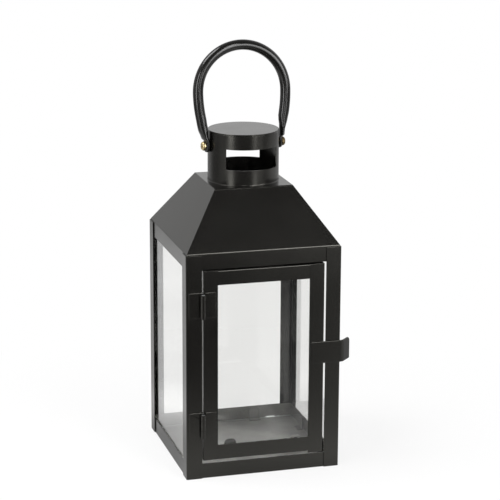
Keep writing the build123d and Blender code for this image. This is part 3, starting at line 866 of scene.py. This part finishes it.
def half_handle(name, neck):
    """Half of the arch with its leg and its flat tab, on the right."""
    bpy.ops.object.select_all(action="DESELECT")
    bpy.ops.mesh.primitive_circle_add(
        vertices=LEATHER_SIDES, radius=LEATHER, location=(ARCH_RADIUS, 0, ARCH_RISE))
    roll = settled(name)
    pick(roll, "EDGE", lambda *_: True)
    bpy.ops.mesh.spin(steps=ARCH_STEPS, angle=math.pi / 2, center=(0, 0, ARCH_RISE), axis=(0, 1, 0))
    shut()

    rings = leather_rings(neck)
    for count in range(1, len(rings)):
        draw_ring(roll, rings[count - 1], rings[count])
        if count == len(rings) - 1:
            bpy.ops.mesh.edge_face_add()
        shut()
    for side in (-1, 1):
        face = TAB_X + side * TAB_THICKNESS / 2
        stretch(
            roll, lambda at, way: at.z < TAB_TOP + NEAR and side * (at.x - face) > 0, (0, 1, 1), (face, 0, 0))
    return roll


def handle():
    """Leather rolled round a cord: a smooth arch, legs that draw in, each in its own way, and flat tabs."""
    pattern = half_handle("left_pattern", LEFT_NECK)
    left = copy_of(pattern, "left_half", flip=(-1, 1, 1))
    bpy.data.objects.remove(pattern)
    roll = joined([half_handle("leather_handle", RIGHT_NECK), left])
    pick(roll, "FACE", lambda *_: True)
    bpy.ops.mesh.remove_doubles(threshold=NEAR)
    bpy.ops.mesh.normals_make_consistent(inside=False)
    shut()
    past_tabs = CHIMNEY + TAB_THICKNESS + TOOL
    cut_out(roll, bar("hole", BARREL + NEAR, (-past_tabs, 0, 0), (past_tabs, 0, 0)))
    alone(roll)
    roll.rotation_euler = (-HANDLE_LEAN, 0, math.radians(CHIMNEY_TURN))
    roll.location = (0, 0, PIVOT)
    settled("leather_handle")
    fit(roll, "handle", "black_leather", "handle_sleeve", "handle_core")


corner_posts()
base()
roof()
chimney()
for side in ("left", "right", "back"):
    glass("glass_" + side, "pane_" + side, "body")
glass("glass_door", "door_glass", "door")
pane_clips()
door_clips()
door_frame()
hinges()
latch()
binding_screws()
handle()


# Studio

ROOM_LIGHT = 0.45               # level of the room for all that gloss doesn't mirror
LAMP_AIM = Vector((0, 0, 0.2))
CAMERA_AZIMUTH = math.radians(-15.773)
CAMERA_ELEVATION = math.radians(14.695)
CAMERA_ROLL = math.radians(0.252)
CAMERA_AIM = Vector((0.007155, 0, 0.199924))
CAMERA_DISTANCE = 1.830113
CAMERA_SENSOR = 36              # mm
CAMERA_LENS = 136.63            # mm
# Name, azimuth, elevation, distance, width, height and power, in degrees, metres and watts
SOFTBOXES = (
    ("softbox_left", -55, 13, 1.6, 0.45, 1.1, 8.5),
    ("softbox_front", -12, 14, 1.6, 0.25, 0.5, 2.0),
    ("softbox_right", 16.5, 25, 3.0, 0.4, 1.9, 22),
    ("softbox_low_right", 23, -0.5, 2.0, 0.32, 0.36, 1.7),
    ("softbox_far_right", 38, 16, 1.6, 1.0, 0.55, 10.5),
    ("softbox_top", -100, 60, 1.6, 0.8, 0.8, 14))


def rays(tree):
    """Sockets that are 1 for rays from the camera or through glass, and for rays that gloss has bounced."""
    path = add(tree, "ShaderNodeLightPath")
    seen = add(tree, "ShaderNodeMath", {
        0: path.outputs["Is Camera Ray"], 1: path.outputs["Is Transmission Ray"]}, operation="MAXIMUM")
    bounced = add(tree, "ShaderNodeMath", {0: path.outputs["Glossy Depth"], 1: 1.0}, operation="MINIMUM")
    return seen.outputs["Value"], bounced.outputs["Value"]


def studio_world():
    """White room.
    Gloss mirrors it bright behind the lantern, and dimmer in front, on the left and overhead."""
    world = bpy.data.worlds.new("white_room")
    bpy.context.scene.world = world
    world.use_nodes = True
    tree = world.node_tree
    tree.nodes.clear()
    seen, bounced = rays(tree)
    outward = add(tree, "ShaderNodeTexCoord")
    split = add(tree, "ShaderNodeSeparateXYZ", {"Vector": outward.outputs["Generated"]})
    behind = add(tree, "ShaderNodeMapRange", {
        "Value": split.outputs["Y"], "From Min": -0.6, "From Max": 0.3, "To Min": 0.14, "To Max": 0.92},
        interpolation_type="SMOOTHSTEP")
    aside = add(tree, "ShaderNodeMapRange", {
        "Value": split.outputs["X"], "From Min": -0.33, "From Max": 0.1, "To Min": 0.67, "To Max": 1.0})
    overhead = add(tree, "ShaderNodeMapRange", {
        "Value": split.outputs["Z"], "From Min": 0.5, "From Max": 0.9, "To Min": 1.0, "To Max": 0.4})
    wall = add(tree, "ShaderNodeMath", {
        0: behind.outputs["Result"], 1: aside.outputs["Result"]}, operation="MULTIPLY")
    room = add(tree, "ShaderNodeMath", {
        0: wall.outputs["Value"], 1: overhead.outputs["Result"]}, operation="MULTIPLY")
    direct = add(tree, "ShaderNodeMix", {0: seen, 2: ROOM_LIGHT, 3: 1.0}, data_type="FLOAT")
    level = add(tree, "ShaderNodeMix", {
        0: bounced, 2: direct.outputs[0], 3: room.outputs["Value"]}, data_type="FLOAT")
    sky = add(tree, "ShaderNodeBackground", {"Color": linear("#ffffff"), "Strength": level.outputs[0]})
    add(tree, "ShaderNodeOutputWorld", {"Surface": sky.outputs["Background"]})


# Middle, inner and outer reach in metres, and the levels there, of patches of the floor as gloss mirrors it:
# painted pools of light, and painted shade with the lantern's painted shadow
MIRRORED_FLOOR = (
    ((-0.08, -0.52, 0), 0.16, 0.45, 0.05, 1.0),
    ((-0.2, -1.15, 0), 0.25, 0.55, 0.05, 1.0),
    ((-1.0, -0.67, 0), 0.14, 0.44, 4.0, 1.0),
    ((0.28, -0.8, 0), 0.1, 0.25, 0.6, 1.0),
    ((0.48, -1.21, 0), 0.1, 0.32, 5.0, 1.0),
    ((0.9, -1.04, 0), 0.12, 0.3, 4.5, 1.0),
    ((-0.11, 0.15, 0), 0.03, 0.08, 1.15, 1.0),
    ((0, 0.02, 0), 0.085, 0.16, 0.55, 1.0),
    ((-0.15, 0.36, 0), 0.15, 0.25, 0.83, 1.0),
    ((-0.3, 0.8, 0), 0.15, 0.4, 0.85, 1.0),
    ((0.45, 0.05, 0), 0.15, 0.4, 0.42, 1.0),
    ((-1.1, 0.5, 0), 0.3, 0.7, 0.2, 1.0),
    ((0.15, -0.3, 0), 1.1, 1.45, 1.0, 0.45))


def studio_floor():
    """White sweep that keeps the lantern's shadow, with the patches that gloss mirrors."""
    bpy.ops.object.select_all(action="DESELECT")
    bpy.ops.mesh.primitive_plane_add(size=14, location=(0, 0, 0))
    floor = settled("studio_floor")
    made, tree = new_material("white_sweep")
    place = add(tree, "ShaderNodeTexCoord").outputs["Object"]
    split = add(tree, "ShaderNodeSeparateXYZ", {"Vector": place})
    away = add(tree, "ShaderNodeVectorMath", {0: place}, operation="LENGTH")
    depth = add(tree, "ShaderNodeMapRange", {
        "Value": split.outputs["Y"], "From Min": -0.8, "From Max": -0.1, "To Min": 0.3, "To Max": 1.0})
    mirrored = depth.outputs["Result"]
    for middle, start, end, low, high in MIRRORED_FLOOR:
        reach = add(tree, "ShaderNodeVectorMath", {0: place, 1: middle}, operation="DISTANCE")
        level = add(tree, "ShaderNodeMapRange", {
            "Value": reach.outputs["Value"], "From Min": start, "From Max": end,
            "To Min": low, "To Max": high})
        mirrored = add(tree, "ShaderNodeMath", {
            0: mirrored, 1: level.outputs["Result"]}, operation="MULTIPLY").outputs["Value"]
    seen, bounced = rays(tree)
    paper = add(tree, "ShaderNodeBsdfDiffuse", {"Color": linear("#f8f8f8")})
    white = add(tree, "ShaderNodeEmission", {"Color": linear("#ffffff"), "Strength": 1.0})
    # Painted pools of light and painted shade, which only gloss sees
    dim = add(tree, "ShaderNodeEmission", {"Color": linear("#ffffff"), "Strength": mirrored})
    clear = add(tree, "ShaderNodeMapRange", {
        "Value": away.outputs["Value"], "From Min": 0.12, "From Max": 0.4, "To Min": 0.8, "To Max": 1.0},
        interpolation_type="SMOOTHSTEP")
    share = add(tree, "ShaderNodeMath", {
        0: seen, 1: clear.outputs["Result"]}, operation="MULTIPLY")
    near = add(tree, "ShaderNodeMixShader", {
        0: share.outputs["Value"], 1: paper.outputs["BSDF"], 2: white.outputs["Emission"]})
    both = add(tree, "ShaderNodeMixShader", {
        0: bounced, 1: near.outputs["Shader"], 2: dim.outputs["Emission"]})
    add(tree, "ShaderNodeOutputMaterial", {"Surface": both.outputs["Shader"]})
    floor.data.materials.append(made)


def toward(azimuth, elevation):
    """Way out from the lantern. Azimuth 0 is out of the door, and it grows towards the latch."""
    level = math.cos(elevation)
    return Vector((math.sin(azimuth) * level, -math.cos(azimuth) * level, math.sin(elevation)))


def softbox(name, azimuth, elevation, distance, width, height, power):
    """Softbox that looks at the middle of the lantern."""
    lamp = bpy.data.lights.new(name, "AREA")
    lamp.shape = "RECTANGLE"
    lamp.size = width
    lamp.size_y = height
    lamp.energy = power
    box = bpy.data.objects.new(name, lamp)
    bpy.context.scene.collection.objects.link(box)
    away = toward(math.radians(azimuth), math.radians(elevation))
    box.location = LAMP_AIM + away * distance
    box.rotation_euler = away.to_track_quat("Z", "Y").to_euler()
    box.visible_camera = False


def photo_camera():
    """Long lens, a little left of the door and above it."""
    back = toward(CAMERA_AZIMUTH, CAMERA_ELEVATION)
    right = Vector((math.cos(CAMERA_AZIMUTH), math.sin(CAMERA_AZIMUTH), 0))
    up = back.cross(right)
    tilted_right = right * math.cos(CAMERA_ROLL) + up * math.sin(CAMERA_ROLL)
    tilted_up = up * math.cos(CAMERA_ROLL) - right * math.sin(CAMERA_ROLL)
    lens = bpy.data.cameras.new("photo_camera")
    lens.sensor_fit = "HORIZONTAL"
    lens.sensor_width = CAMERA_SENSOR
    lens.lens = CAMERA_LENS
    camera = bpy.data.objects.new("photo_camera", lens)
    bpy.context.scene.collection.objects.link(camera)
    turn = Matrix((tilted_right, tilted_up, back)).transposed().to_4x4()
    camera.matrix_world = Matrix.Translation(CAMERA_AIM + back * CAMERA_DISTANCE) @ turn
    bpy.context.scene.camera = camera


studio_world()
studio_floor()
for lamp in SOFTBOXES:
    softbox(*lamp)
photo_camera()
bpy.context.scene.view_settings.view_transform = "Standard"
